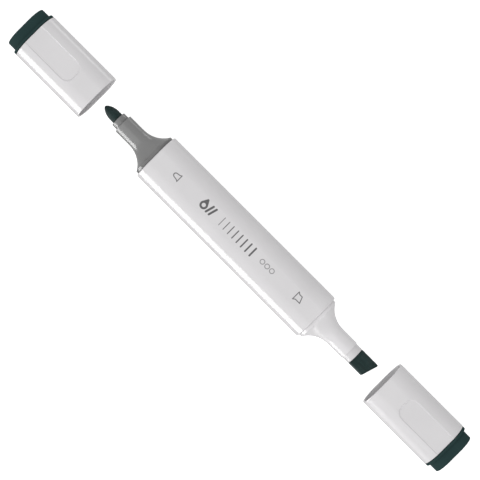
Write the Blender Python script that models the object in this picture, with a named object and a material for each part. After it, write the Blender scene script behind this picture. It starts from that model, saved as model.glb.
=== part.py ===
"""Twin-tip felt marker with both caps drawn off, lying on its broad side.

X runs along the marker from the bullet nib to the chisel nib, Y is across its
broad face and Z is up.  The origin is the middle of the barrel's flat underside.
"""
import math

import bmesh
import bpy

MM = 0.001

# Barrel: a tube with a rounded oblong section
BARREL_LENGTH = 77.6 * MM
BARREL_WIDTH = 18.4 * MM
BARREL_DEPTH = 15.0 * MM
BARREL_CORNER = 6.5 * MM
BARREL_WALL = 1.2 * MM
BARREL_EDGE = 0.4 * MM

# Front sections: a spigot in the barrel, a collar that the cap closes on, a flare and a neck
SPIGOT_LENGTH = 9.0 * MM
SOCKET_DEPTH = 6.0 * MM
SOCKET_WALL = 0.8 * MM
COLLAR_LENGTH = 1.1 * MM
FLARE_LENGTH = 8.3 * MM
NECK_DIAMETER = 7.25 * MM
NECK_WALL = 0.7 * MM
BULLET_NECK_LENGTH = 6.65 * MM
CHISEL_NECK_LENGTH = 6.75 * MM

# Nib holders: a nose that steps in from the neck, and a stem inside it
BULLET_NOSE_LENGTH = 2.3 * MM
BULLET_NOSE_STEP = 0.75 * MM
CHISEL_NOSE_LENGTH = 2.8 * MM
CHISEL_NOSE_STEP = 0.3 * MM
HOLDER_STEM_LENGTH = 6.0 * MM
HOLDER_WALL = 0.75 * MM
SLOT_FLATTENING = 1.2 * MM

# Nibs
BULLET_NIB_RIM = 0.75 * MM
BULLET_NIB_STRAIGHT = 1.95 * MM
BULLET_NIB_OGIVE = 4.4 * MM
CHISEL_NIB_THICKNESS = 3.6 * MM
CHISEL_NIB_EDGE = 0.35 * MM
CHISEL_NIB_SHORT_SIDE = 6.0 * MM
CHISEL_NIB_LONG_SIDE = 7.9 * MM
NIB_IN_RESERVOIR = 5.0 * MM

# Ink reservoir: a fibre core in a film sleeve
FILM_THICKNESS = 0.3 * MM

# Caps: a shell, a seal liner that closes on the neck, and an end plug
CAP_WALL = 0.8 * MM
CAP_EDGE = 0.25 * MM
LINER_FROM_FLARE = 2.2 * MM
LINER_WALL = 0.8 * MM
NIB_TIP_SPACE = 0.5 * MM
PLUG_SPIGOT = 1.6 * MM
PLUG_FLANGE = 0.9 * MM
PLUG_FLANGE_INSET = 0.1 * MM
PLUG_BODY_LENGTH = 3.7 * MM
PLUG_BODY_INSET = 1.0 * MM
PLUG_DOME = 0.45 * MM
PLUG_WALL = 1.2 * MM
THUMB_PANEL_LENGTH = 20.3 * MM
THUMB_PANEL_WIDTH = 8.4 * MM
THUMB_PANEL_CORNER = 3.1 * MM
THUMB_PANEL_DEPTH = 0.35 * MM

# How far each cap's mouth stands beyond the tip of its nib
BULLET_CAP_CLEAR = 3.85 * MM
CHISEL_CAP_CLEAR = 5.15 * MM

# Fits
SEAT_GAP = 0.2 * MM
SLIDE_GAP = 0.1 * MM

# Facets round each section, a multiple of four, and stations along the curves
OUTLINE_STEPS = 40
FLARE_STEPS = 7
OGIVE_STEPS = 6
DOME_STEPS = 3
MERGE_DISTANCE = 0.001 * MM

HALF_BARREL = BARREL_LENGTH / 2
AXIS_HEIGHT = BARREL_DEPTH / 2


def oblong(width, depth, corner):
    """Points round a rounded oblong, one in each of OUTLINE_STEPS directions."""
    half_width, half_depth = width / 2, depth / 2
    corner = min(corner, half_width, half_depth)
    centre_y, centre_z = half_width - corner, half_depth - corner
    points = []
    for step in range(OUTLINE_STEPS):
        angle = 2 * math.pi * step / OUTLINE_STEPS
        across, up = math.cos(angle), math.sin(angle)
        run, rise = abs(across), abs(up)
        if half_width * rise <= centre_z * run:
            reach = half_width / run
        elif half_depth * run <= centre_y * rise:
            reach = half_depth / rise
        else:
            along = run * centre_y + rise * centre_z
            reach = along + math.sqrt(along ** 2 - centre_y ** 2 - centre_z ** 2 + corner ** 2)
        points.append((across * reach, up * reach))
    return points


def inset_oblong(inset):
    """The barrel's outline moved inwards by inset."""
    return oblong(BARREL_WIDTH - 2 * inset, BARREL_DEPTH - 2 * inset, BARREL_CORNER - inset)


def circle(diameter):
    return oblong(diameter, diameter, diameter / 2)


def flatted_rod(diameter, thickness, edge):
    """A slab's outline whose corners don't stand out of a rod of the given diameter."""
    points = []
    for y, z in oblong(diameter, thickness, edge):
        share = min(1, diameter / 2 / math.hypot(y, z))
        points.append((y * share, z * share))
    return points


def loft(name, rings, material, ring_shaped=False):
    """Join rings of points, each (x, outline), into one closed solid.

    A ring-shaped solid joins its last ring to its first, and any other has a face at each end.
    """
    mesh = bpy.data.meshes.new(name)
    model = bmesh.new()
    loops = [[model.verts.new((x, y, z)) for y, z in outline] for x, outline in rings]
    pairs = list(zip(loops, loops[1:]))
    if ring_shaped:
        pairs.append((loops[-1], loops[0]))
    else:
        model.faces.new(loops[0])
        model.faces.new(loops[-1])
    for first, second in pairs:
        for index in range(OUTLINE_STEPS):
            after = (index + 1) % OUTLINE_STEPS
            model.faces.new((first[index], first[after], second[after], second[index]))
    bmesh.ops.recalc_face_normals(model, faces=model.faces)
    model.to_mesh(mesh)
    model.free()
    mesh.shade_smooth()
    mesh.set_sharp_from_angle(angle=math.radians(30))
    mesh.materials.append(material)
    piece = bpy.data.objects.new(name, mesh)
    bpy.context.collection.objects.link(piece)
    return piece


def plastic(name, colour, roughness):
    material = bpy.data.materials.new(name)
    material.use_nodes = True
    shader = material.node_tree.nodes["Principled BSDF"]
    shader.inputs["Base Color"].default_value = (*colour, 1)
    shader.inputs["Roughness"].default_value = roughness
    shader.inputs["Metallic"].default_value = 0
    return material


def add_end(name, shoulder, turn):
    """An empty on the marker's axis whose +X points out of the barrel."""
    end = bpy.data.objects.new(name, None)
    bpy.context.collection.objects.link(end)
    end.location = (shoulder, 0, AXIS_HEIGHT)
    end.rotation_euler = (0, 0, turn)
    return end


def add_slide(name, end, mouth):
    """An empty on the cap's slide axis, in the middle of the cap's mouth."""
    slide = bpy.data.objects.new(name, None)
    bpy.context.collection.objects.link(slide)
    slide.parent = end
    slide.location = (mouth, 0, 0)
    return slide


def build_barrel(material):
    """The tube, with two inner ribs that centre the reservoir between the spigots."""
    bore = inset_oblong(BARREL_WALL)
    ribbed = list(bore)
    rib_tip = reservoir_diameter() / 2 + SEAT_GAP
    ribbed[0] = (rib_tip, 0)
    ribbed[OUTLINE_STEPS // 2] = (-rib_tip, 0)
    rib_end = HALF_BARREL - SPIGOT_LENGTH - 2 * SEAT_GAP
    rib_slope = BARREL_WALL
    rings = [
        (-HALF_BARREL, inset_oblong(BARREL_EDGE)),
        (-HALF_BARREL + BARREL_EDGE, inset_oblong(0)),
        (HALF_BARREL - BARREL_EDGE, inset_oblong(0)),
        (HALF_BARREL, inset_oblong(BARREL_EDGE)),
        (HALF_BARREL, bore),
        (rib_end, bore),
        (rib_end - rib_slope, ribbed),
        (rib_slope - rib_end, ribbed),
        (-rib_end, bore),
        (-HALF_BARREL, bore),
    ]
    barrel = loft("barrel", rings, material, ring_shaped=True)
    barrel.location = (0, 0, AXIS_HEIGHT)


def spigot_inset():
    return BARREL_WALL + SEAT_GAP


def reservoir_diameter():
    """What the sockets in the two spigots leave for the film sleeve."""
    return BARREL_DEPTH - 2 * (spigot_inset() + SOCKET_WALL + SEAT_GAP)


def reservoir_end():
    """How far the reservoir's end face lies inside the shoulder."""
    return SPIGOT_LENGTH - SOCKET_DEPTH + SEAT_GAP


def holder_stem_diameter():
    return NECK_DIAMETER - 2 * (NECK_WALL + SEAT_GAP)


def round_bore():
    """The bullet nib's hole through its holder."""
    return circle(holder_stem_diameter() - 2 * HOLDER_WALL)


def slot(inset=0.0):
    """The chisel nib's hole through its holder, or the nib's stem, inset into it."""
    width = holder_stem_diameter() - 2 * HOLDER_WALL - 2 * inset
    depth = width - SLOT_FLATTENING + SEAT_GAP
    return oblong(width, depth, depth / 3)


def neck_end(neck_length):
    return COLLAR_LENGTH + FLARE_LENGTH + neck_length


def nose_end(neck_length, nose_length):
    return neck_end(neck_length) + nose_length


def bullet_reach():
    """From the shoulder to the bullet nib's tip."""
    nose = nose_end(BULLET_NECK_LENGTH, BULLET_NOSE_LENGTH)
    return nose + BULLET_NIB_STRAIGHT + BULLET_NIB_OGIVE


def chisel_reach():
    """From the shoulder to the chisel nib's long corner."""
    return nose_end(CHISEL_NECK_LENGTH, CHISEL_NOSE_LENGTH) + CHISEL_NIB_LONG_SIDE


def build_reservoir(core_material, film_material):
    """A fibre core with a blind hole at each end for the nibs, in an open film sleeve."""
    half_length = HALF_BARREL - reservoir_end()
    hole_end = half_length - NIB_IN_RESERVOIR - SEAT_GAP
    film_bore = reservoir_diameter() - 2 * FILM_THICKNESS
    core = circle(film_bore - 2 * SEAT_GAP)
    fibre = loft("reservoir_fibre", [
        (-hole_end, round_bore()),
        (-half_length, round_bore()),
        (-half_length, core),
        (half_length, core),
        (half_length, slot()),
        (hole_end, slot()),
    ], core_material)
    film = loft("reservoir_film", [
        (-half_length, circle(reservoir_diameter())),
        (half_length, circle(reservoir_diameter())),
        (half_length, circle(film_bore)),
        (-half_length, circle(film_bore)),
    ], film_material, ring_shaped=True)
    for piece in (fibre, film):
        piece.location = (0, 0, AXIS_HEIGHT)


def flare_ring(along):
    """Section of the flare at a distance from the neck, on arcs that meet the neck smoothly."""
    collar_inset = CAP_WALL + SLIDE_GAP
    sizes = []
    for full in (BARREL_WIDTH, BARREL_DEPTH):
        height = full / 2 - collar_inset - NECK_DIAMETER / 2
        radius = (FLARE_LENGTH ** 2 + height ** 2) / (2 * height)
        rise = radius - math.sqrt(radius ** 2 - along ** 2)
        sizes.append(NECK_DIAMETER + 2 * rise)
    width, depth = sizes
    collar_roundness = (BARREL_CORNER - collar_inset) / (BARREL_DEPTH / 2 - collar_inset)
    share = (depth - NECK_DIAMETER) / (BARREL_DEPTH - 2 * collar_inset - NECK_DIAMETER)
    roundness = 1 + (collar_roundness - 1) * share
    return oblong(width, depth, depth / 2 * roundness)


def build_section(name, end, neck_length, material):
    """Spigot, collar, flare and neck in one moulding, bored through, with a reservoir socket."""
    spigot = inset_oblong(spigot_inset())
    collar = inset_oblong(CAP_WALL + SLIDE_GAP)
    neck = circle(NECK_DIAMETER)
    neck_bore = circle(NECK_DIAMETER - 2 * NECK_WALL)
    socket = circle(reservoir_diameter() + 2 * SEAT_GAP)
    rings = [
        (-SPIGOT_LENGTH, spigot),
        (SEAT_GAP, spigot),
        (SEAT_GAP, collar),
        (COLLAR_LENGTH, collar),
    ]
    for step in range(1, FLARE_STEPS):
        along = FLARE_LENGTH * (1 - step / FLARE_STEPS)
        rings.append((COLLAR_LENGTH + FLARE_LENGTH - along, flare_ring(along)))
    rings += [
        (COLLAR_LENGTH + FLARE_LENGTH, neck),
        (neck_end(neck_length), neck),
        (neck_end(neck_length), neck_bore),
        (SOCKET_DEPTH - SPIGOT_LENGTH, neck_bore),
        (SOCKET_DEPTH - SPIGOT_LENGTH, socket),
        (-SPIGOT_LENGTH, socket),
    ]
    section = loft(name, rings, material, ring_shaped=True)
    section.parent = end


def build_holder(name, end, neck_length, nose_length, nose_step, hole, material):
    """A nose outside the neck and a stem inside it, with the nib's hole through both."""
    stem = circle(holder_stem_diameter())
    nose = circle(NECK_DIAMETER - 2 * nose_step)
    neck_face = neck_end(neck_length)
    nose_face = neck_face + nose_length
    rings = [
        (neck_face - HOLDER_STEM_LENGTH, stem),
        (neck_face + SEAT_GAP, stem),
        (neck_face + SEAT_GAP, nose),
        (nose_face, nose),
        (nose_face, hole),
        (neck_face - HOLDER_STEM_LENGTH, hole),
    ]
    holder = loft(name, rings, material, ring_shaped=True)
    holder.parent = end


def build_bullet_nib(end, material):
    """A round stem that reaches into the reservoir, and a head that ends in an ogive."""
    nose = nose_end(BULLET_NECK_LENGTH, BULLET_NOSE_LENGTH)
    radius = NECK_DIAMETER / 2 - BULLET_NOSE_STEP - BULLET_NIB_RIM
    stem = circle(holder_stem_diameter() - 2 * (HOLDER_WALL + SEAT_GAP))
    ogive_start = nose + BULLET_NIB_STRAIGHT
    rings = [
        (-reservoir_end() - NIB_IN_RESERVOIR, stem),
        (nose + SEAT_GAP, stem),
        (nose + SEAT_GAP, circle(2 * radius)),
    ]
    ogive_radius = (BULLET_NIB_OGIVE ** 2 + radius ** 2) / (2 * radius)
    for step in range(OGIVE_STEPS):
        along = BULLET_NIB_OGIVE * (1 - (1 - step / OGIVE_STEPS) ** 2)
        drop = ogive_radius - math.sqrt(ogive_radius ** 2 - along ** 2)
        rings.append((ogive_start + along, circle(2 * (radius - drop))))
    tip_radius = radius / 10
    rings.append((bullet_reach(), circle(2 * tip_radius)))
    nib = loft("bullet_nib", rings, material)
    nib.parent = end


def build_chisel_nib(end, material):
    """A flat stem that reaches into the reservoir, and a flatted head with a slanted end."""
    nose = nose_end(CHISEL_NECK_LENGTH, CHISEL_NOSE_LENGTH)
    width = NECK_DIAMETER - 2 * CHISEL_NOSE_STEP
    stem = slot(SEAT_GAP)
    head = flatted_rod(width, CHISEL_NIB_THICKNESS, CHISEL_NIB_EDGE)
    nib = loft("chisel_nib", [
        (-reservoir_end() - NIB_IN_RESERVOIR, stem),
        (nose + SEAT_GAP, stem),
        (nose + SEAT_GAP, head),
        (nose + CHISEL_NIB_SHORT_SIDE, head),
    ], material)
    slant = (CHISEL_NIB_LONG_SIDE - CHISEL_NIB_SHORT_SIDE) / width
    end_face = nose + CHISEL_NIB_SHORT_SIDE
    for vertex in nib.data.vertices:
        if vertex.co.x > end_face - SEAT_GAP:
            vertex.co.x += (vertex.co.y + width / 2) * slant
    nib.parent = end


def liner_mouth():
    """Where the liner starts, measured from the cap's mouth: on the neck, past the flare."""
    return neck_end(LINER_FROM_FLARE) - SEAT_GAP


def liner_end():
    """Inner face of the liner's closed end, measured from the cap's mouth."""
    return max(bullet_reach(), chisel_reach()) - SEAT_GAP + NIB_TIP_SPACE


def shell_length():
    return liner_end() + LINER_WALL + SEAT_GAP + PLUG_SPIGOT


def add_panel_cutter(name, slide):
    """A block with two rounded corners, whose underside is the floor of the thumb panel."""
    half_width = THUMB_PANEL_WIDTH / 2
    corner = min(THUMB_PANEL_CORNER, half_width)
    overrun = PLUG_SPIGOT
    floor = BARREL_DEPTH / 2 - THUMB_PANEL_DEPTH
    outer_end = shell_length() + overrun
    arc_along = shell_length() - THUMB_PANEL_LENGTH + corner
    arc_across = half_width - corner
    arc_steps = OUTLINE_STEPS // 8
    outline = [(outer_end, -half_width), (outer_end, half_width)]
    for first_quarter, side in ((1, 1), (2, -1)):
        for step in range(arc_steps + 1):
            angle = math.pi / 2 * (first_quarter + step / arc_steps)
            outline.append((arc_along + corner * math.cos(angle),
                            arc_across * side + corner * math.sin(angle)))
    model = bmesh.new()
    base = model.faces.new([model.verts.new((x, y, floor)) for x, y in outline])
    block = bmesh.ops.extrude_face_region(model, geom=[base])
    raised = [item for item in block["geom"] if isinstance(item, bmesh.types.BMVert)]
    bmesh.ops.translate(model, verts=raised, vec=(0, 0, BARREL_DEPTH))
    bmesh.ops.remove_doubles(model, verts=model.verts, dist=MERGE_DISTANCE)
    bmesh.ops.recalc_face_normals(model, faces=model.faces)
    mesh = bpy.data.meshes.new(name)
    model.to_mesh(mesh)
    model.free()
    cutter = bpy.data.objects.new(name, mesh)
    bpy.context.collection.objects.link(cutter)
    cutter.hide_render = True
    cutter.display_type = "WIRE"
    cutter.parent = slide
    return cutter


def build_shell(name, slide, material):
    """A sleeve, flush with the barrel, with a shallow thumb panel open to its outer end."""
    length = shell_length()
    shell = loft(name, [
        (0, inset_oblong(CAP_EDGE)),
        (CAP_EDGE, inset_oblong(0)),
        (length - CAP_EDGE, inset_oblong(0)),
        (length, inset_oblong(CAP_EDGE)),
        (length, inset_oblong(CAP_WALL)),
        (0, inset_oblong(CAP_WALL)),
    ], material, ring_shaped=True)
    shell.parent = slide
    cut = shell.modifiers.new("thumb_panel", "BOOLEAN")
    cut.operation = "DIFFERENCE"
    cut.solver = "EXACT"
    cut.object = add_panel_cutter(name + "_panel_cutter", slide)


def build_liner(name, slide, material):
    """A thimble that seals on the neck, with a flange that seats in the shell."""
    bore = circle(NECK_DIAMETER + 2 * SLIDE_GAP)
    wall = circle(NECK_DIAMETER + 2 * (SLIDE_GAP + LINER_WALL))
    flange = inset_oblong(CAP_WALL + SEAT_GAP)
    liner = loft(name, [
        (liner_end(), bore),
        (liner_mouth(), bore),
        (liner_mouth(), wall),
        (liner_end(), wall),
        (liner_end(), flange),
        (liner_end() + LINER_WALL, flange),
    ], material)
    liner.parent = slide


def build_plug(name, slide, material):
    """A hollow plug: a spigot in the shell, a flange on its end and a narrower domed body."""
    length = shell_length()
    spigot_start = length - PLUG_SPIGOT
    flange_start = length + SEAT_GAP
    flange_end = flange_start + PLUG_FLANGE
    body_end = flange_end + PLUG_BODY_LENGTH
    spigot_place = CAP_WALL + SEAT_GAP
    hollow = inset_oblong(spigot_place + PLUG_WALL)
    rings = [
        (body_end - PLUG_WALL, hollow),
        (spigot_start, hollow),
        (spigot_start, inset_oblong(spigot_place)),
        (flange_start, inset_oblong(spigot_place)),
        (flange_start, inset_oblong(PLUG_FLANGE_INSET)),
        (flange_end, inset_oblong(PLUG_FLANGE_INSET)),
        (flange_end, inset_oblong(PLUG_BODY_INSET)),
        (body_end, inset_oblong(PLUG_BODY_INSET)),
    ]
    body = inset_oblong(PLUG_BODY_INSET)
    for step in range(1, DOME_STEPS + 1):
        share = 1 - step / (DOME_STEPS + 1)
        outline = [(y * share, z * share) for y, z in body]
        rings.append((body_end + PLUG_DOME * (1 - share ** 2), outline))
    plug = loft(name, rings, material)
    plug.parent = slide


def main():
    for item in list(bpy.data.objects):
        bpy.data.objects.remove(item, do_unlink=True)

    pale = plastic("pale_plastic", (0.76, 0.75, 0.76), 0.25)
    grey = plastic("grey_plastic", (0.21, 0.21, 0.21), 0.3)
    ink_green = plastic("ink_green_plastic", (0.022, 0.04, 0.04), 0.45)
    felt = plastic("inked_felt", (0.02, 0.036, 0.036), 0.85)
    liner = plastic("liner_plastic", (0.6, 0.6, 0.58), 0.4)
    film = plastic("film", (0.8, 0.8, 0.8), 0.2)

    bullet_end = add_end("bullet_end", -HALF_BARREL, math.pi)
    chisel_end = add_end("chisel_end", HALF_BARREL, 0)

    build_barrel(pale)
    build_reservoir(felt, film)

    build_section("bullet_section", bullet_end, BULLET_NECK_LENGTH, grey)
    build_holder("bullet_nib_holder", bullet_end, BULLET_NECK_LENGTH,
                 BULLET_NOSE_LENGTH, BULLET_NOSE_STEP, round_bore(), grey)
    build_bullet_nib(bullet_end, felt)

    build_section("chisel_section", chisel_end, CHISEL_NECK_LENGTH, pale)
    build_holder("chisel_nib_holder", chisel_end, CHISEL_NECK_LENGTH,
                 CHISEL_NOSE_LENGTH, CHISEL_NOSE_STEP, slot(), pale)
    build_chisel_nib(chisel_end, felt)

    for cap, end, mouth in (
        ("bullet_cap", bullet_end, bullet_reach() + BULLET_CAP_CLEAR),
        ("chisel_cap", chisel_end, chisel_reach() + CHISEL_CAP_CLEAR),
    ):
        slide = add_slide(cap + "_slide", end, mouth)
        build_shell(cap + "_shell", slide, pale)
        build_liner(cap + "_liner", slide, liner)
        build_plug(cap + "_plug", slide, ink_green)


main()
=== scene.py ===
import math

import bmesh
import bpy
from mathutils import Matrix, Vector


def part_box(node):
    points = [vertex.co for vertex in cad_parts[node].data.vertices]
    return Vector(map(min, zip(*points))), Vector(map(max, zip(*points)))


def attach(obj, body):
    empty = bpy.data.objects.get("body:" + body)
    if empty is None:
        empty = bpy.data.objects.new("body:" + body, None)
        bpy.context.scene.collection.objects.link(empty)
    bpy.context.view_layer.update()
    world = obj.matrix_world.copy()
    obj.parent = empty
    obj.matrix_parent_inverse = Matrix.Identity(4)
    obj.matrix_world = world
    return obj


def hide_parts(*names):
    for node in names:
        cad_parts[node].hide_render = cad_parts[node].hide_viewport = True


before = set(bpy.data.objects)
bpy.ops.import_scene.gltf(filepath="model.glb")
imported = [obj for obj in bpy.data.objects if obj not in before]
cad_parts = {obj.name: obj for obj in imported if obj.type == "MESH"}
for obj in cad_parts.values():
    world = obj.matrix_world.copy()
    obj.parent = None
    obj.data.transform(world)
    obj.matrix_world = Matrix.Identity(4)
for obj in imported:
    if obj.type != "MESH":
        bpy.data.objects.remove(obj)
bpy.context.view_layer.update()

mm = 0.001
tiny = 0.001 * mm                         # places nearer than this count as one place
axisHeight = sum(corner.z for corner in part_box("barrel")) / 2   # every piece is centred on it
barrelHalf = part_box("barrel")[1].x        # the shoulders, where each front section starts
outline = {"width": 18.4 * mm, "depth": 15.0 * mm, "corner": 6.5 * mm}   # of barrel, caps and plugs
sharpAngle = 0.5                          # radians between the two faces of a sharp edge
print("frame loaded, marker axis at", round(axisHeight / mm, 3), "mm")


def deselect():
    if bpy.context.mode != "OBJECT":
        bpy.ops.object.mode_set(mode="OBJECT")
    bpy.ops.object.select_all(action="DESELECT")


def newPiece(name):                       # names the primitive just added, its place in its mesh
    piece = bpy.context.active_object
    piece.name = name
    piece.data.name = name
    bpy.ops.object.transform_apply(location=True, rotation=True, scale=True)
    bpy.ops.object.mode_set(mode="EDIT")
    return piece


def pick(piece, kind, test):              # selects the edges or faces that pass a test
    bpy.ops.mesh.select_mode(type=kind)
    bpy.ops.mesh.select_all(action="DESELECT")
    shape = bmesh.from_edit_mesh(piece.data)
    for item in {"EDGE": shape.edges, "FACE": shape.faces}[kind]:
        if test(item):
            item.select_set(True)
    bmesh.update_edit_mesh(piece.data)


def isAt(item, axis, place):              # an edge or face that lies wholly at one place on an axis
    return all(abs(vert.co[axis] - place) < tiny for vert in item.verts)


def runsAlong(edge, axis):
    return abs((edge.verts[0].co - edge.verts[1].co).normalized()[axis]) > 0.9


def isEnd(face, x):                       # a many-sided flat face across the marker at x
    return abs(abs(face.normal.x) - 1) < 0.001 and len(face.verts) > 4 and isAt(face, 0, x)


def pickEnd(piece, x):
    pick(piece, "FACE", lambda face: isEnd(face, x))


# Bevels the sharp loops at x whose points all stand further than inside from the marker's axis.
def roundRim(piece, x, width, steps, inside=0, clamp=True):
    def isRim(edge):
        reach = [math.hypot(vert.co.y, vert.co.z - axisHeight) for vert in edge.verts]
        return isAt(edge, 0, x) and edge.calc_face_angle(0) > sharpAngle and min(reach) > inside

    pick(piece, "EDGE", isRim)
    bpy.ops.mesh.bevel(offset=width, segments=steps, affect="EDGES", clamp_overlap=clamp)


def slicePiece(axis, places):             # cuts edges round the whole piece at each place
    normal = [float(index == axis) for index in range(3)]
    for place in places:
        bpy.ops.mesh.select_all(action="SELECT")
        bpy.ops.mesh.bisect(plane_co=[place * part for part in normal], plane_no=normal)


def pull(distance):                       # extrudes what is picked along the marker
    bpy.ops.mesh.extrude_region_move(TRANSFORM_OT_translate={"value": (distance, 0, 0)})


def stepIn(wall):
    bpy.ops.mesh.inset(thickness=wall, use_even_offset=True)


def reshape(piece, width, depth, rounder=0):     # gives what is picked a new size, and rounds it
    if rounder > 0:
        bpy.ops.transform.tosphere(value=min(rounder, 1))
    shape = bmesh.from_edit_mesh(piece.data)
    places = [vert.co for vert in shape.verts if vert.select]
    spans = [max(place[axis] for place in places) - min(place[axis] for place in places)
             for axis in (1, 2)]
    bpy.ops.transform.resize(value=(1, width / spans[0], depth / spans[1]),
                             center_override=(places[0].x, 0, axisHeight))


def boreThrough(piece, *ends):            # joins the faces at two ends by a tunnel
    pick(piece, "FACE", lambda face: any(isEnd(face, x) for x in ends))
    bpy.ops.mesh.bridge_edge_loops()


def useModifier(piece, kind, **settings):
    if bpy.context.mode == "EDIT_MESH":
        bpy.ops.object.mode_set(mode="OBJECT")
    modifier = piece.modifiers.new(kind.lower(), kind)
    for name, value in settings.items():
        setattr(modifier, name, value)
    bpy.context.view_layer.objects.active = piece
    bpy.ops.object.modifier_apply(modifier=modifier.name)


def finishPiece(piece, body, node, material, smoothUnder=35):
    if bpy.context.mode != "EDIT_MESH":
        bpy.context.view_layer.objects.active = piece
        bpy.ops.object.mode_set(mode="EDIT")
    bpy.ops.mesh.select_all(action="SELECT")
    bpy.ops.mesh.remove_doubles(threshold=tiny / 2)
    bpy.ops.mesh.normals_make_consistent(inside=False)
    deselect()
    piece.select_set(True)
    bpy.context.view_layer.objects.active = piece
    bpy.ops.object.shade_smooth_by_angle(angle=math.radians(smoothUnder))
    useModifier(piece, "WEIGHTED_NORMAL", keep_sharp=True)    # broad faces stay flat beside fillets
    piece.data.materials.clear()
    piece.data.materials.append(material)
    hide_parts(node)
    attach(piece, body)
    print("made", piece.name, "with", len(piece.data.polygons), "faces")


def oblongBlock(name, xStart, xEnd, inset, arcSteps, flatSteps=1):
    width, depth = outline["width"] - 2 * inset, outline["depth"] - 2 * inset
    corner = outline["corner"] - inset
    deselect()
    bpy.ops.mesh.primitive_cube_add(size=1, location=((xStart + xEnd) / 2, 0, axisHeight),
                                    scale=(abs(xEnd - xStart), width, depth))
    piece = newPiece(name)
    pick(piece, "EDGE", lambda edge: runsAlong(edge, 0))
    bpy.ops.mesh.bevel(offset=corner, segments=arcSteps, affect="EDGES")
    for axis, centre, half in ((1, 0, width / 2 - corner), (2, axisHeight, depth / 2 - corner)):
        slicePiece(axis, [centre - half + 2 * half * step / flatSteps
                          for step in range(1, flatSteps)])
    for end in (xStart, xEnd):
        pick(piece, "FACE", lambda face: isAt(face, 0, end))
        bpy.ops.mesh.dissolve_faces()
    return piece


def rod(name, xStart, xEnd, diameter, sides):
    deselect()
    bpy.ops.mesh.primitive_cylinder_add(vertices=sides, radius=diameter / 2,
                                        depth=abs(xEnd - xStart),
                                        location=((xStart + xEnd) / 2, 0, axisHeight),
                                        rotation=(0, math.pi / 2, 0))
    return newPiece(name)


class Wire:                               # a socket in a material's tree that takes part in sums
    def __init__(self, tree, socket=None):
        self.tree, self.socket = tree, socket

    def node(self, kind, settings=None, inputs=None, output=0):
        made = self.tree.nodes.new(kind)
        for name, value in (settings or {}).items():
            setattr(made, name, value)
        for name, value in (inputs or {}).items():
            if isinstance(value, Wire):
                self.tree.links.new(value.socket, made.inputs[name])
            else:
                made.inputs[name].default_value = value
        return Wire(self.tree, made.outputs[output])

    def reckon(self, operation, *values):
        return self.node("ShaderNodeMath", {"operation": operation}, dict(enumerate(values)))

    def __add__(self, other):
        return self.reckon("ADD", self, other)

    def __radd__(self, other):
        return self.reckon("ADD", other, self)

    def __sub__(self, other):
        return self.reckon("SUBTRACT", self, other)

    def __rsub__(self, other):
        return self.reckon("SUBTRACT", other, self)

    def __mul__(self, other):
        return self.reckon("MULTIPLY", self, other)

    def __rmul__(self, other):
        return self.reckon("MULTIPLY", other, self)

    def size(self):
        return self.reckon("ABSOLUTE", self)

    def nearest(self, other):
        return self.reckon("MINIMUM", self, other)

    def clamp(self):
        return self.node("ShaderNodeClamp", {}, {"Value": self})

    def vector(self, operation, other):
        return self.node("ShaderNodeVectorMath", {"operation": operation}, {0: self, 1: other})

    def measure(self, operation, other):  # a distance or dot product, which is a number
        return self.node("ShaderNodeVectorMath", {"operation": operation}, {0: self, 1: other}, 1)

    def scaled(self, factor):
        return self.node("ShaderNodeVectorMath", {"operation": "SCALE"}, {0: self, "Scale": factor})

    def smooth(self, low, high):          # 0 below low, 1 above high, eased between them
        return self.node("ShaderNodeMapRange", {"interpolation_type": "SMOOTHSTEP"},
                         {"Value": self, "From Min": low, "From Max": high})

    def blend(self, first, second):       # a colour between two, by this share
        first, second = (colour if isinstance(colour, Wire) else (*colour, 1)
                         for colour in (first, second))
        return self.node("ShaderNodeMix", {"data_type": "RGBA"},
                         {"Factor": self, 6: first, 7: second}, output=2)


def newFinish(name, **shaderValues):      # a material, its shader, and the place on the object
    material = bpy.data.materials.new(name)
    material.use_nodes = True
    shader = material.node_tree.nodes["Principled BSDF"]
    for socket, value in shaderValues.items():
        shader.inputs[socket.replace("_", " ")].default_value = value
    place = Wire(material.node_tree).node("ShaderNodeTexCoord", output="Object")
    return material, shader, place


def connect(wire, shader, socket):
    wire.tree.links.new(wire.socket, shader.inputs[socket])


def feed(shader, tone, rough, relief, strength=1.0):    # what varies over a surface
    bump = relief.node("ShaderNodeBump", {}, {"Height": relief, "Strength": strength,
                                              "Distance": 1.0})
    connect(tone, shader, "Base Color")
    connect(rough, shader, "Roughness")
    connect(bump, shader, "Normal")


def noise(place, scale, detail=3, roughness=0.5):
    return place.node("ShaderNodeTexNoise", {}, {"Vector": place, "Scale": scale, "Detail": detail,
                                                 "Roughness": roughness})


def drawn(place, alongMarker, across):    # the place for a pattern of fine lines along the marker
    return place.node("ShaderNodeMapping", {}, {"Vector": place,
                                                "Scale": (alongMarker, across, across)})


def shaded(colour, factor):
    return tuple(channel * factor for channel in colour)


mouldedPlastic = {
    "cloudScale": 45, "handledScale": 99, "peelScale": 650, "fineScale": 2600, "fineShare": 0.25,
    "scratchScale": (14, 900), "scratched": (0.62, 0.72), "scratchRoughness": 0.12,
    "scratchHeight": 0.003 * mm, "peelHeight": 0.005 * mm,
    "roughness": 0.24, "roughnessSwing": 0.07,
}


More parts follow.
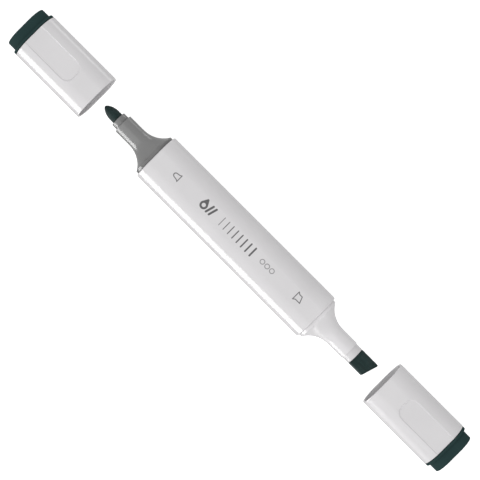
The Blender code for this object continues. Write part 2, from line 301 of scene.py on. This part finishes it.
def plasticFinish(name, colour, darker=0.95, roughness=mouldedPlastic["roughness"], printed=False,
                  seamShade=None, **shaderValues):
    values = mouldedPlastic
    material, shader, place = newFinish(name, IOR=1.49, **shaderValues)
    cloud = noise(place, values["cloudScale"], 4, 0.6).smooth(0.3, 0.7)
    fine = noise(place, values["fineScale"], 2, 0.7)
    share = cloud * (1 - values["fineShare"]) + fine * values["fineShare"]
    tone = share.blend(shaded(colour, darker), colour)
    scratches = noise(drawn(place, *values["scratchScale"]), 1, 5, 0.75)
    scratches = scratches.smooth(*values["scratched"])
    handled = noise(place, values["handledScale"], 3, 0.6).smooth(0.35, 0.75)
    worn = scratches * handled            # scratches show most where fingers have been
    rough = roughness + (handled - 0.5) * values["roughnessSwing"]
    rough = rough + worn * values["scratchRoughness"]
    peel = noise(place, values["peelScale"], 2, 0.4)
    relief = peel * values["peelHeight"] - worn * values["scratchHeight"]
    if seamShade:                            # painted shade: darker on the collar beside the barrel's end
        darkEnd, unshadedEnd, depth = seamShade
        along = place.node("ShaderNodeSeparateXYZ", {}, {0: place}).size()
        tone = along.smooth(darkEnd, unshadedEnd).blend(tone.scaled(depth), tone)
    if printed:
        dark, faint = printMask(place)
        grain = noise(place, 4200, 3, 0.7).smooth(0.25, 0.45)
        cover = printMarks["cover"] + grain * (1 - printMarks["cover"])
        tone = (dark * cover).blend(tone, printMarks["ink"])
        tone = (faint * cover).blend(tone, printMarks["faintInk"])
        rough = rough + (dark + faint) * printMarks["roughness"]
        relief = relief + (dark + faint) * printMarks["height"]
    feed(shader, tone, rough, relief)
    return material


inkedFelt = {
    "colour": (0.0135, 0.0315, 0.0305), "darker": 0.6, "lighter": 1.35, "fibreScale": (260, 5200),
    "poreScale": 3200, "wetScale": 420, "roughness": 0.82, "wetGloss": 0.16, "poreRoughness": 0.1,
    "fibreHeight": 0.05 * mm, "poreHeight": 0.035 * mm,
}


def feltFinish(name):
    values = inkedFelt
    material, shader, place = newFinish(name, IOR=1.4, Specular_IOR_Level=0.35, Sheen_Weight=0.06,
                                        Sheen_Roughness=0.5)
    fibres = noise(drawn(place, *values["fibreScale"]), 1, 4, 0.7)
    pores = noise(place, values["poreScale"], 3, 0.7)
    wet = noise(place, values["wetScale"], 2, 0.5).smooth(0.4, 0.65)
    tone = (fibres * 0.6 + pores * 0.4).smooth(0.3, 0.7).blend(
        shaded(values["colour"], values["darker"]), shaded(values["colour"], values["lighter"]))
    rough = values["roughness"] - wet * values["wetGloss"] + pores * values["poreRoughness"]
    feed(shader, tone, rough, fibres * values["fibreHeight"] + pores * values["poreHeight"], 0.9)
    return material


polyethylene = {"dark": (0.56, 0.56, 0.53), "light": (0.64, 0.64, 0.62), "cloudScale": 160,
                "turnedScale": (2600, 60), "roughness": 0.42, "height": 0.01 * mm}


def linerFinish(name):
    values = polyethylene
    material, shader, place = newFinish(name, IOR=1.51)
    cloud = noise(place, values["cloudScale"]).smooth(0.3, 0.7)
    turned = noise(drawn(place, *values["turnedScale"]), 1, 2, 0.5)
    feed(shader, cloud.blend(values["dark"], values["light"]), values["roughness"] + cloud * 0.1,
         turned * values["height"])
    return material


clearFilm = {"dark": (0.66, 0.67, 0.66), "light": (0.78, 0.78, 0.77), "wrinkleScale": (300, 1100),
             "roughness": 0.16, "height": 0.03 * mm}


def filmFinish(name):
    values = clearFilm
    material, shader, place = newFinish(name, IOR=1.49)
    wrinkle = noise(drawn(place, *values["wrinkleScale"]), 1, 3, 0.55)
    feed(shader, wrinkle.blend(values["dark"], values["light"]),
         values["roughness"] + wrinkle * 0.12, wrinkle * values["height"])
    return material


# The print on the barrel. Places and widths are in millimetres from the middle of the barrel's top.
printMarks = {
    "ink": (0.098, 0.096, 0.099), "faintInk": (0.22, 0.215, 0.22), "cover": 0.86, "blur": 0.05,
    "roughness": 0.08, "height": 0.006 * mm, "centreY": 0.4,
    "lowest": 14.6 * mm, "highest": 14.8 * mm,
    "bulletIcon": {"x": -27.45, "width": 0.3, "base": 1.34, "flareStart": 1.22, "flare": (0.7, 0.9),
                   "bodyEnd": 1.5, "bodyHalf": 0.8, "dome": 0.98},
    "chiselIcon": {"x": 28.35, "width": 0.3, "top": 1.6, "bottom": -1.68, "shoulder": (0.75, 1.08),
                   "shortSide": 1.95, "longSide": 2.8},
    "drop": {"x": -15.35, "y": -0.45, "radius": 1.1, "width": 0.75, "point": 2.24},
    "slashes": {"x": (-12.9, -11.5), "lean": 0.42, "half": 1.5, "width": 0.75},
    "gauge": {"first": -7.05, "step": 2.1, "count": 8, "half": 1.68, "thin": 0.22, "thick": 0.62},
    "rings": {"x": (12.3, 14.55, 16.8), "radius": 0.82, "width": 0.26},
}


def strokeReach(flat, first, last):       # distance from a straight stroke
    along = Vector(last) - Vector(first)
    fromStart = flat.vector("SUBTRACT", (*first, 0))
    share = fromStart.measure("DOT_PRODUCT", (*(along / along.length_squared), 0)).clamp()
    onStroke = share.node("ShaderNodeVectorMath", {"operation": "SCALE"},
                          {0: (*along, 0), "Scale": share})
    return fromStart.measure("DISTANCE", onStroke)


def pathReach(flat, *points):
    reach = strokeReach(flat, points[0], points[1])
    for first, last in zip(points[1:], points[2:]):
        reach = reach.nearest(strokeReach(flat, first, last))
    return reach


def ringReach(flat, centre, radius):
    return (flat.measure("DISTANCE", (*centre, 0)) - radius).size()


def inked(reach, width):                  # 1 on a stroke of this width, 0 off it
    return 1 - (reach - width / 2).smooth(-printMarks["blur"], printMarks["blur"])


def bulletMark(flat):                     # a round nib on its base line
    icon = printMarks["bulletIcon"]
    base, (flare, flareHalf) = icon["x"], icon["flare"]
    reach = strokeReach(flat, (base, icon["base"]), (base, -icon["base"]))
    for up in (-1, 1):
        reach = reach.nearest(pathReach(flat, (base, up * icon["flareStart"]),
                                        (base - flare, up * flareHalf),
                                        (base - icon["bodyEnd"], up * icon["bodyHalf"])))
    domed = flat.vector("SUBTRACT", (base - icon["bodyEnd"], 0, 0))
    domed = domed.vector("MULTIPLY", (icon["bodyHalf"] / icon["dome"], 1, 0))
    backHalf = domed.measure("DOT_PRODUCT", (1, 0, 0)).smooth(-0.05, 0.1) * 5    # left unprinted
    dome = ringReach(domed, (0, 0), icon["bodyHalf"]) + backHalf
    return inked(reach.nearest(dome), icon["width"])


def chiselMark(flat):                     # a slanted nib on its base line
    icon = printMarks["chiselIcon"]
    base, (shoulder, half) = icon["x"], icon["shoulder"]
    top, bottom = (base, icon["top"]), (base, icon["bottom"])
    return inked(pathReach(flat, top, (base + shoulder, half), (base + icon["shortSide"], half),
                           (base + icon["longSide"], -half), (base + shoulder, -half), bottom, top),
                 icon["width"])


def dropMark(flat):                       # a drop of ink: a ring, and two tangents to its point
    drop = printMarks["drop"]
    x, y, radius = drop["x"], drop["y"], drop["radius"]
    lean = math.acos(radius / drop["point"])
    across, up = radius * math.sin(lean), radius * math.cos(lean)
    sides = pathReach(flat, (x - across, y + up), (x, y + drop["point"]), (x + across, y + up))
    return inked(ringReach(flat, (x, y), radius).nearest(sides), drop["width"])


def printMask(place):                     # the dark print and the faint print
    slashes, gauge, rings = (printMarks[mark] for mark in ("slashes", "gauge", "rings"))
    flat = place.scaled(1 / mm).vector("MULTIPLY", (1, 1, 0))
    flat = flat.vector("SUBTRACT", (0, printMarks["centreY"], 0))
    marks = [bulletMark(flat), chiselMark(flat), dropMark(flat)]
    for x in slashes["x"]:
        stroke = strokeReach(flat, (x - slashes["lean"], -slashes["half"]),
                             (x + slashes["lean"], slashes["half"]))
        marks.append(inked(stroke, slashes["width"]))
    for step in range(gauge["count"]):    # bars that grow bolder
        x = gauge["first"] + step * gauge["step"]
        width = gauge["thin"] + (gauge["thick"] - gauge["thin"]) * step / (gauge["count"] - 1)
        marks.append(inked(strokeReach(flat, (x, -gauge["half"]), (x, gauge["half"])), width))
    faint = sum(inked(ringReach(flat, (x, 0), rings["radius"]), rings["width"]) for x in rings["x"])
    height = place.node("ShaderNodeSeparateXYZ", {}, {0: place}, output=2)
    onTop = height.smooth(printMarks["lowest"], printMarks["highest"])
    return sum(marks).clamp() * onTop, faint.clamp() * onTop


paleColour = (0.735, 0.722, 0.733)
greyColour = (0.232, 0.232, 0.231)
greenColour = (0.0265, 0.0545, 0.0540)
greyCollarShade = (39.4 * mm, 40.6 * mm, 0.7)  # painted shade on the collar beside the barrel: darkest up to the first place, none past the next

paleFinish = plasticFinish("pale_moulding", paleColour)
printedFinish = plasticFinish("printed_pale_moulding", paleColour, printed=True)
paleNoseFinish = plasticFinish("pale_nose_moulding", shaded(paleColour, 0.93))
# the grey section's collar carries painted shade next to the barrel
greyFinish = plasticFinish("grey_moulding", greyColour, 0.93, seamShade=greyCollarShade)
paleSectionFinish = plasticFinish("pale_section_moulding", shaded(paleColour, 1.045))
greyNoseFinish = plasticFinish("grey_nose_moulding", shaded(greyColour, 0.86), 0.93)
# inside of the caps: the pale colour darkened as painted shade, and matt
coreShadeFinish = plasticFinish("pale_core_side_painted_shade", shaded(paleColour, 0.9), roughness=0.6)
plugFinish = plasticFinish("green_moulding", greenColour, 0.88, 0.8, Specular_IOR_Level=0.03)
nibFinish = feltFinish("inked_felt_nib")
sealFinish = linerFinish("natural_polyethylene")
sleeveFinish = filmFinish("clear_film")
print("finishes mixed")

barrelTube = {"wall": 1.2 * mm, "edge": 0.4 * mm, "edgeSteps": 5, "arcSteps": 28}


def makeBarrel():
    values = barrelTube
    low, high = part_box("barrel")
    piece = oblongBlock("barrel_tube", low.x, high.x, 0, values["arcSteps"])
    for end in (low.x, high.x):
        pickEnd(piece, end)
        stepIn(values["wall"])
    boreThrough(piece, low.x, high.x)
    middle = outline["depth"] / 2 - values["wall"] / 2
    for end in (low.x, high.x):
        roundRim(piece, end, values["edge"], values["edgeSteps"], middle, clamp=False)
    finishPiece(piece, "marker", "barrel", printedFinish)


makeBarrel()

# Lengths of what stands out of each end of the barrel, measured from its shoulder.
bulletEnd = {"side": -1, "neckEnd": 16.05 * mm, "neckEdge": 0.15 * mm, "collarFoot": 0.38 * mm,
             "seam": 0.03 * mm, "noseEnd": 18.35 * mm, "noseWidth": 5.75 * mm,
             "hole": (3.95 * mm, 3.95 * mm), "grooved": True}
chiselEnd = {"side": 1, "neckEnd": 16.15 * mm, "neckEdge": 0.07 * mm, "collarFoot": 0.05 * mm,
             "seam": 0.01 * mm, "noseEnd": 18.95 * mm, "noseWidth": 6.65 * mm,
             "hole": (3.95 * mm, 2.95 * mm), "grooved": False}


def placeOut(end, distance):              # x of a place this far out from the shoulder
    return end["side"] * (barrelHalf + distance)


frontSection = {
    "collarStart": 0.04 * mm, "collarEnd": 1.1 * mm, "collarInset": 0.9 * mm,
    "collarEdge": 0.3 * mm, "rimReach": 0.05 * mm, "spigotInset": 1.4 * mm, "spigotDepth": 9.0 * mm,
    "socket": 10.6 * mm, "socketDepth": 6.0 * mm, "socketLip": 0.5 * mm, "flare": 8.3 * mm,
    "flareSteps": 24, "neck": 7.25 * mm, "bore": 5.85 * mm, "arcSteps": 22, "flatSteps": 8,
}


def flareSize(full, along):               # an arc that meets the neck smoothly
    values = frontSection
    height = full / 2 - values["collarInset"] - values["neck"] / 2
    radius = (values["flare"] ** 2 + height ** 2) / (2 * height)
    return values["neck"] + 2 * (radius - math.sqrt(radius ** 2 - along ** 2))


def pullFlare(piece, side):               # from the oblong collar to the round neck
    values = frontSection
    share, place = 1, values["collarEnd"]
    collarDepth = flareSize(outline["depth"], values["flare"])
    for step in range(1, values["flareSteps"] + 1):
        along = values["flare"] * math.sin(math.pi / 2 * (1 - step / values["flareSteps"]))
        width, depth = flareSize(outline["width"], along), flareSize(outline["depth"], along)
        newShare = max(0, (depth - values["neck"]) / (collarDepth - values["neck"]))
        newPlace = values["collarEnd"] + values["flare"] - along
        pull(side * (newPlace - place))
        reshape(piece, width, depth, 1 - newShare / share)
        share, place = newShare, newPlace
    return place


def makeSection(name, node, end, material):     # spigot, collar, flare and neck
    values, side, neckEnd = frontSection, end["side"], end["neckEnd"]
    collarStart = placeOut(end, values["collarStart"])
    collarEnd = placeOut(end, values["collarEnd"])
    piece = oblongBlock(name, collarStart, collarEnd, values["collarInset"], values["arcSteps"],
                        values["flatSteps"])
    pickEnd(piece, collarStart)
    stepIn(values["spigotInset"] - values["collarInset"])
    pull(-side * (values["spigotDepth"] + values["collarStart"]))
    stepIn(values["socketLip"])
    reshape(piece, values["socket"], values["socket"], 1)
    pull(side * values["socketDepth"])
    stepIn((values["socket"] - values["bore"]) / 2)
    pickEnd(piece, collarEnd)
    flareEnd = pullFlare(piece, side)
    pull(side * (neckEnd - flareEnd))
    stepIn((values["neck"] - values["bore"]) / 2)
    boreThrough(piece, placeOut(end, neckEnd),
                placeOut(end, values["socketDepth"] - values["spigotDepth"]))
    roundRim(piece, placeOut(end, neckEnd), end["neckEdge"], 3)
    roundRim(piece, collarEnd, values["collarEdge"], 4)
    roundRim(piece, collarStart, end["collarFoot"], 3,
             outline["depth"] / 2 - values["collarInset"] - values["rimReach"])
    finishPiece(piece, "marker", node, material)


makeSection("bullet_front", "bullet_section", bulletEnd, greyFinish)
makeSection("chisel_front", "chisel_section", chiselEnd, paleSectionFinish)

nibHolder = {
    "stem": 5.45 * mm, "stemLength": 6.0 * mm, "stemStep": 0.3 * mm, "noseStep": 0.6 * mm,
    "sides": 96, "edge": 0.2 * mm, "seamEdge": 0.05 * mm, "rimReach": 0.3 * mm,
    "grooveStart": 0.12 * mm, "grooveWidth": 0.6 * mm, "grooveDepth": 0.12 * mm, "grooveSlope": 0.7,
}


def cutGroove(piece, end, seamFace):      # a shallow ring beside the neck
    values = nibHolder
    first = seamFace + end["side"] * values["grooveStart"]
    last = seamFace + end["side"] * (values["grooveStart"] + values["grooveWidth"])
    slicePiece(0, [first, last])
    pick(piece, "FACE", lambda face: all(
        min(first, last) - tiny < vert.co.x < max(first, last) + tiny
        and math.hypot(vert.co.y, vert.co.z - axisHeight) > end["noseWidth"] / 2 - tiny
        for vert in face.verts))
    stepIn(values["grooveDepth"] * values["grooveSlope"])
    bpy.ops.transform.shrink_fatten(value=-values["grooveDepth"])


def makeHolder(name, node, end, material):      # a nose outside the neck, a stem inside
    values, side = nibHolder, end["side"]
    neckFace, noseFace = placeOut(end, end["neckEnd"]), placeOut(end, end["noseEnd"])
    seamFace = neckFace + side * end["seam"]
    stemFace = neckFace - side * values["stemLength"]
    piece = rod(name, seamFace, noseFace, end["noseWidth"], values["sides"])
    pickEnd(piece, seamFace)
    stepIn((end["noseWidth"] - values["stem"]) / 2)
    pull(stemFace - seamFace)
    stepIn(values["stemStep"])
    reshape(piece, *end["hole"])
    pickEnd(piece, noseFace)
    stepIn(values["noseStep"])
    reshape(piece, *end["hole"])
    boreThrough(piece, stemFace, noseFace)
    outside = end["noseWidth"] / 2 - values["rimReach"]
    roundRim(piece, noseFace, values["edge"], 4, outside)
    roundRim(piece, seamFace, values["seamEdge"], 2, outside)
    if end["grooved"]:
        cutGroove(piece, end, seamFace)
    finishPiece(piece, "marker", node, material)


makeHolder("bullet_nose", "bullet_nib_holder", bulletEnd, greyNoseFinish)
makeHolder("chisel_nose", "chisel_nib_holder", chiselEnd, paleNoseFinish)

feltLumps = {"size": 0.35 * mm, "depth": 2, "mostlyInward": 0.75}


def roughen(piece, strength):             # the fibres leave the outline very slightly uneven
    lumps = bpy.data.textures.new("felt_lumps", "CLOUDS")
    lumps.noise_scale, lumps.noise_depth = feltLumps["size"], feltLumps["depth"]
    useModifier(piece, "DISPLACE", texture=lumps, strength=strength,
                mid_level=feltLumps["mostlyInward"], texture_coords="LOCAL")


bulletNib = {
    "seat": 0.05 * mm, "width": 4.25 * mm, "straight": 1.75 * mm, "point": 4.6 * mm,
    "pointSteps": 30, "fullness": 0.67, "stem": 3.55 * mm, "inner": 8.2 * mm, "sides": 96,
    "edge": 0.12 * mm, "rimReach": 0.1 * mm, "slice": 0.12 * mm, "fuzz": 0.04 * mm,
}


def makeBulletNib():
    values = bulletNib
    seatOut = bulletEnd["noseEnd"] + values["seat"]
    seat = placeOut(bulletEnd, seatOut)
    pointStart = placeOut(bulletEnd, bulletEnd["noseEnd"] + values["straight"])
    radius = values["width"] / 2
    piece = rod("bullet_felt", seat, pointStart, values["width"], values["sides"])
    pickEnd(piece, seat)
    stepIn((values["width"] - values["stem"]) / 2)
    pull(values["inner"] + seatOut)
    pickEnd(piece, pointStart)
    last = 0
    for step in range(1, values["pointSteps"]):
        share = math.sin(math.pi / 2 * step / values["pointSteps"])
        half = radius * (1 - share ** 2) ** values["fullness"]
        pull(last - values["point"] * share)
        reshape(piece, 2 * half, 2 * half)
        last = values["point"] * share
    pull(last - values["point"])
    bpy.ops.mesh.merge(type="CENTER")
    cuts = int(values["straight"] / values["slice"])
    slicePiece(0, [pointStart + values["straight"] * step / cuts for step in range(1, cuts)])
    roundRim(piece, seat, values["edge"], 3, radius - values["rimReach"])
    roughen(piece, values["fuzz"])
    finishPiece(piece, "marker", "bullet_nib", nibFinish, 60)


makeBulletNib()

chiselNib = {
    "seat": 0.05 * mm, "width": 6.65 * mm, "thickness": 3.6 * mm, "shortSide": 6.0 * mm,
    "longSide": 7.9 * mm, "stem": (3.55 * mm, 2.55 * mm), "stemStep": 0.4 * mm, "inner": 8.2 * mm,
    "sides": 44, "edge": 0.28 * mm, "slice": 0.16 * mm, "sliver": 0.02 * mm, "fuzz": 0.06 * mm,
}


def trim(place, normal):                  # cuts off what lies past a plane and closes the cut
    bpy.ops.mesh.select_all(action="SELECT")
    bpy.ops.mesh.bisect(plane_co=place, plane_no=normal, use_fill=True, clear_outer=True)


def makeChiselNib():
    values = chiselNib
    noseEnd = chiselEnd["noseEnd"]
    start = placeOut(chiselEnd, noseEnd + values["seat"])
    longEnd = placeOut(chiselEnd, noseEnd + values["longSide"])
    piece = rod("chisel_felt", start, longEnd, values["width"], values["sides"])
    for up in (-1, 1):                    # two flats, then the slanted writing edge
        trim((0, 0, axisHeight + up * values["thickness"] / 2), (0, 0, up))
    slant = Vector((values["width"], values["shortSide"] - values["longSide"], 0)).normalized()
    trim((longEnd, values["width"] / 2, axisHeight), slant)
    pick(piece, "EDGE", lambda edge: edge.calc_face_angle(0) > sharpAngle
         and min(vert.co.x for vert in edge.verts) > start - tiny)
    bpy.ops.mesh.bevel(offset=values["edge"], segments=4, affect="EDGES")
    pickEnd(piece, start)
    stepIn(values["stemStep"])
    reshape(piece, *values["stem"])
    pull(-(noseEnd + values["seat"] + values["inner"]))
    cuts = int(values["longSide"] / values["slice"])
    slicePiece(0, [start + values["longSide"] * step / cuts for step in range(1, cuts)])
    cuts = int(values["width"] / values["slice"])
    slicePiece(1, [values["width"] * (step / cuts - 0.5) for step in range(1, cuts)])
    bpy.ops.mesh.select_all(action="SELECT")
    bpy.ops.mesh.remove_doubles(threshold=values["sliver"])
    roughen(piece, values["fuzz"])
    finishPiece(piece, "marker", "chisel_nib", nibFinish, 60)


makeChiselNib()

capShell = {
    "wall": 0.8 * mm, "edge": 0.25 * mm, "edgeSteps": 4, "arcSteps": 28,
    "panelLength": 20.3 * mm, "panelWidth": 8.4 * mm, "panelCorner": 3.1 * mm, "cornerSteps": 20,
    "panelDepth": 0.35 * mm, "panelEdge": 0.06 * mm, "panelSlope": 0.42 * mm,
    "panelFoot": 0.12 * mm, "rimAngle": 0.3, "cutterOver": 2 * mm,
}


def panelCutter(top, floor, innerEnd, over):     # a block with two rounded corners and sloped sides
    values, height, length = capShell, capShell["cutterOver"], abs(over - innerEnd)
    deselect()
    bpy.ops.mesh.primitive_cube_add(size=1, location=((innerEnd + over) / 2, 0, top + height / 2),
                                    scale=(length, values["panelWidth"], height))
    cutter = newPiece("panel_cutter")
    pick(cutter, "EDGE", lambda edge: isAt(edge, 0, innerEnd) and runsAlong(edge, 2))
    bpy.ops.mesh.bevel(offset=values["panelCorner"], segments=values["cornerSteps"], affect="EDGES")
    pick(cutter, "FACE", lambda face: isAt(face, 2, top))
    down = (0, 0, -values["panelDepth"])
    bpy.ops.mesh.extrude_region_move(TRANSFORM_OT_translate={"value": down})
    slope = values["panelSlope"]
    bpy.ops.transform.resize(
        value=((length - slope) / length, 1 - 2 * slope / values["panelWidth"], 1),
        center_override=(over, 0, floor))
    pick(cutter, "EDGE", lambda edge: edge.calc_face_angle(0) > values["rimAngle"]
         and isAt(edge, 2, floor) and not isAt(edge, 0, over))
    bpy.ops.mesh.bevel(offset=values["panelFoot"], segments=3, affect="EDGES")
    deselect()
    return cutter


def cutPanel(piece, outerEnd, side):      # the thumb panel, open at the cap's outer end
    values = capShell
    floor = axisHeight + outline["depth"] / 2 - values["panelDepth"]
    top = floor + values["panelDepth"]
    cutter = panelCutter(top, floor, outerEnd - side * values["panelLength"],
                         outerEnd + side * values["cutterOver"])
    useModifier(piece, "BOOLEAN", object=cutter, operation="DIFFERENCE", solver="EXACT")
    bpy.data.objects.remove(cutter)
    piece.select_set(True)
    bpy.ops.object.mode_set(mode="EDIT")

    def onPanelRim(edge):
        return edge.calc_face_angle(0) > values["rimAngle"] and all(
            vert.co.z > top - values["panelDepth"]
            and abs(vert.co.y) < values["panelWidth"] / 2 + tiny
            and values["edge"] + tiny < side * (outerEnd - vert.co.x) < values["panelLength"] + tiny
            for vert in edge.verts)

    pick(piece, "EDGE", onPanelRim)
    bpy.ops.mesh.bevel(offset=values["panelEdge"], segments=3, affect="EDGES")


def finishInside(piece, wall):            # the core side of the moulding is matt, and its colour is darkened as painted shade inside the cap
    piece.data.materials.append(coreShadeFinish)
    halfWidth, halfDepth = outline["width"] / 2 - wall + tiny, outline["depth"] / 2 - wall + tiny
    for face in piece.data.polygons:
        y, z = face.center.y, face.center.z - axisHeight
        inward = face.normal.y * y + face.normal.z * z < 0
        if inward and abs(y) < halfWidth and abs(z) < halfDepth and abs(face.normal.x) < 0.5:
            face.material_index = 1


def makeShell(cap, side):
    values = capShell
    low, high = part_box(cap + "_shell")
    mouth, outerEnd = (low.x, high.x) if side > 0 else (high.x, low.x)
    piece = oblongBlock(cap + "_sleeve", mouth, outerEnd, 0, values["arcSteps"])
    for end in (mouth, outerEnd):
        pickEnd(piece, end)
        stepIn(values["wall"])
    boreThrough(piece, mouth, outerEnd)
    middle = outline["depth"] / 2 - values["wall"] / 2
    for end in (mouth, outerEnd):
        roundRim(piece, end, values["edge"], values["edgeSteps"], middle)
    cutPanel(piece, outerEnd, side)
    finishPiece(piece, cap, cap + "_shell", paleFinish)
    finishInside(piece, values["wall"])


sealLiner = {
    "flangeInset": 1.0 * mm, "flangeStep": 0.6 * mm, "floor": 0.8 * mm, "width": 9.05 * mm,
    "wall": 0.8 * mm, "edge": 0.2 * mm, "arcSteps": 16, "flatSteps": 4,
}


def makeLiner(cap, side):
    values = sealLiner
    low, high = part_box(cap + "_liner")
    mouth, closed = (low.x, high.x) if side > 0 else (high.x, low.x)
    flangeStart = closed - side * values["floor"]
    piece = oblongBlock(cap + "_seal", flangeStart, closed, values["flangeInset"],
                        values["arcSteps"], values["flatSteps"])
    pickEnd(piece, flangeStart)
    stepIn(values["flangeStep"])
    reshape(piece, values["width"], values["width"], 1)
    pull(mouth - flangeStart)
    stepIn(values["wall"])
    pull(flangeStart - mouth)
    roundRim(piece, mouth, values["edge"], 3)
    finishPiece(piece, cap, cap + "_liner", sealFinish)


capPlug = {
    "spigot": 1.8 * mm, "spigotInset": 1.0 * mm, "flange": 0.9 * mm, "flangeInset": 0.1 * mm,
    "flangeEdge": 0.15 * mm, "body": 3.7 * mm, "bodyInset": 1.0 * mm, "wall": 1.2 * mm,
    "dome": 0.42 * mm, "domeInset": 0.4 * mm, "domeSteps": 8, "edge": 0.35 * mm, "arcSteps": 26,
    "rimReach": 0.6 * mm,
}


def pullDome(bodyEnd, side):              # crowns the closed end in rings
    values = capPlug
    shareBefore, place = 1, 0
    for step in range(1, values["domeSteps"]):
        share = 1 - step / values["domeSteps"]
        height = values["dome"] * (1 - share ** 2)
        pull(side * (height - place))
        bpy.ops.transform.resize(value=(1, share / shareBefore, share / shareBefore),
                                 center_override=(bodyEnd, 0, axisHeight))
        shareBefore, place = share, height


def makePlug(cap, side):
    values = capPlug
    low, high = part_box(cap + "_plug")
    spigotEnd = low.x if side > 0 else high.x
    flangeStart = spigotEnd + side * values["spigot"]
    flangeEnd = flangeStart + side * values["flange"]
    bodyEnd = flangeEnd + side * values["body"]
    piece = oblongBlock(cap + "_end_plug", flangeStart, flangeEnd, values["flangeInset"],
                        values["arcSteps"])
    pickEnd(piece, flangeStart)
    stepIn(values["spigotInset"] - values["flangeInset"])
    pull(spigotEnd - flangeStart)
    stepIn(values["wall"])
    pull(bodyEnd - side * values["wall"] - spigotEnd)
    pickEnd(piece, flangeEnd)
    stepIn(values["bodyInset"] - values["flangeInset"])
    pull(bodyEnd - flangeEnd)
    stepIn(values["domeInset"])
    pullDome(bodyEnd, side)
    roundRim(piece, bodyEnd, values["edge"], 4)
    for face in (flangeStart, flangeEnd):
        roundRim(piece, face, values["flangeEdge"], 3, outline["depth"] / 2 - values["rimReach"])
    finishPiece(piece, cap, cap + "_plug", plugFinish, 30)


for cap, side in (("bullet_cap", -1), ("chisel_cap", 1)):
    makeShell(cap, side)
    makeLiner(cap, side)
    makePlug(cap, side)

for name, material in (("reservoir_fibre", nibFinish), ("reservoir_film", sleeveFinish)):
    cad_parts[name].data.materials.clear()
    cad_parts[name].data.materials.append(material)
print("pieces made")

studio = {
    "cameraHeight": 590 * mm, "lens": 129.05, "sensor": 36, "turn": 45.0, "clipEnd": 20,
    "aimX": 1.71 * mm, "aimY": 0.24 * mm, "ambient": 0.67, "floorSize": 6.0, "floorGap": 0.02 * mm,
    "floorGlow": 0.65, "floorTones": (0.93, 0.96), "bounceGap": 0.2 * mm,
    "bounceTones": (0.82, 0.8364),
}
# Each light's place, aim, width, height and power, and whether it lights matt surfaces too.
softboxes = {
    "overhead": ((0.0, -0.56, 1.06), (0, 0, 0), 1.3, 1.35, 5.2, True),
    "low_strip": ((-0.12, -0.6, 0.01), (-0.12, 0, 0.0075), 0.47, 0.42, 5.5, False),
    "right_strip": ((0.42, -0.6, -0.1), (0.42, 0, 0.0075), 0.58, 0.44, 1.3, True),
    "far_strip": ((-0.3, 0.6, -0.06), (-0.3, 0, 0.0075), 0.4, 0.12, 0.6, False),
    "end_light": ((0.72, -0.22, 0.03), (0, 0, 0), 0.6, 0.2, 1.3, False),
}


def addFloor(name, gap, tones, glow):
    deselect()
    bpy.ops.mesh.primitive_plane_add(size=studio["floorSize"], location=(0, 0, -gap))
    floor = bpy.context.active_object
    floor.name = name
    material, shader, place = newFinish(name + "_paper", Roughness=0.9, Specular_IOR_Level=0.0,
                                        Emission_Color=(1, 1, 1, 1), Emission_Strength=glow)
    dark, light = ((tone,) * 3 for tone in tones)
    connect(noise(place, 3, 2, 0.5).blend(dark, light), shader, "Base Color")
    floor.data.materials.append(material)
    floor.visible_glossy = False
    floor.visible_shadow = False          # strips below the floor still light the marker
    return floor


def makeFloors():                         # a white sweep for the eye, and a duller one under it
    seen = addFloor("floor", studio["floorGap"], studio["floorTones"], studio["floorGlow"])
    seen.visible_diffuse = False
    bounce = addFloor("floor_bounce", studio["bounceGap"], studio["bounceTones"], 0)
    bounce.visible_camera = False


def addSoftbox(name, place, aim, width, height, power, lightsMatt):
    deselect()
    bpy.ops.object.light_add(type="AREA", location=place)
    lamp = bpy.context.active_object
    lamp.name = name
    lamp.data.shape = "RECTANGLE"
    lamp.data.size, lamp.data.size_y = width, height
    lamp.data.energy = power
    lamp.rotation_euler = (Vector(aim) - Vector(place)).to_track_quat("-Z", "Y").to_euler()
    lamp.visible_camera = False
    lamp.visible_diffuse = lightsMatt


def addCamera():
    deselect()
    bpy.ops.object.camera_add(
        location=(studio["aimX"], studio["aimY"], axisHeight + studio["cameraHeight"]),
        rotation=(0, 0, math.radians(studio["turn"])))
    camera = bpy.context.active_object
    camera.name = "camera"
    camera.data.lens = studio["lens"]
    camera.data.sensor_width = studio["sensor"]
    camera.data.clip_end = studio["clipEnd"]
    bpy.context.scene.camera = camera


def makeStudio():
    makeFloors()
    world = bpy.data.worlds.new("studio")
    bpy.context.scene.world = world
    world.use_nodes = True
    world.node_tree.nodes["Background"].inputs["Color"].default_value = (1, 1, 1, 1)
    world.node_tree.nodes["Background"].inputs["Strength"].default_value = studio["ambient"]
    for name, values in softboxes.items():
        addSoftbox(name, *values)
    addCamera()
    bpy.context.scene.view_settings.view_transform = "Standard"


makeStudio()
print("studio set")

deselect()
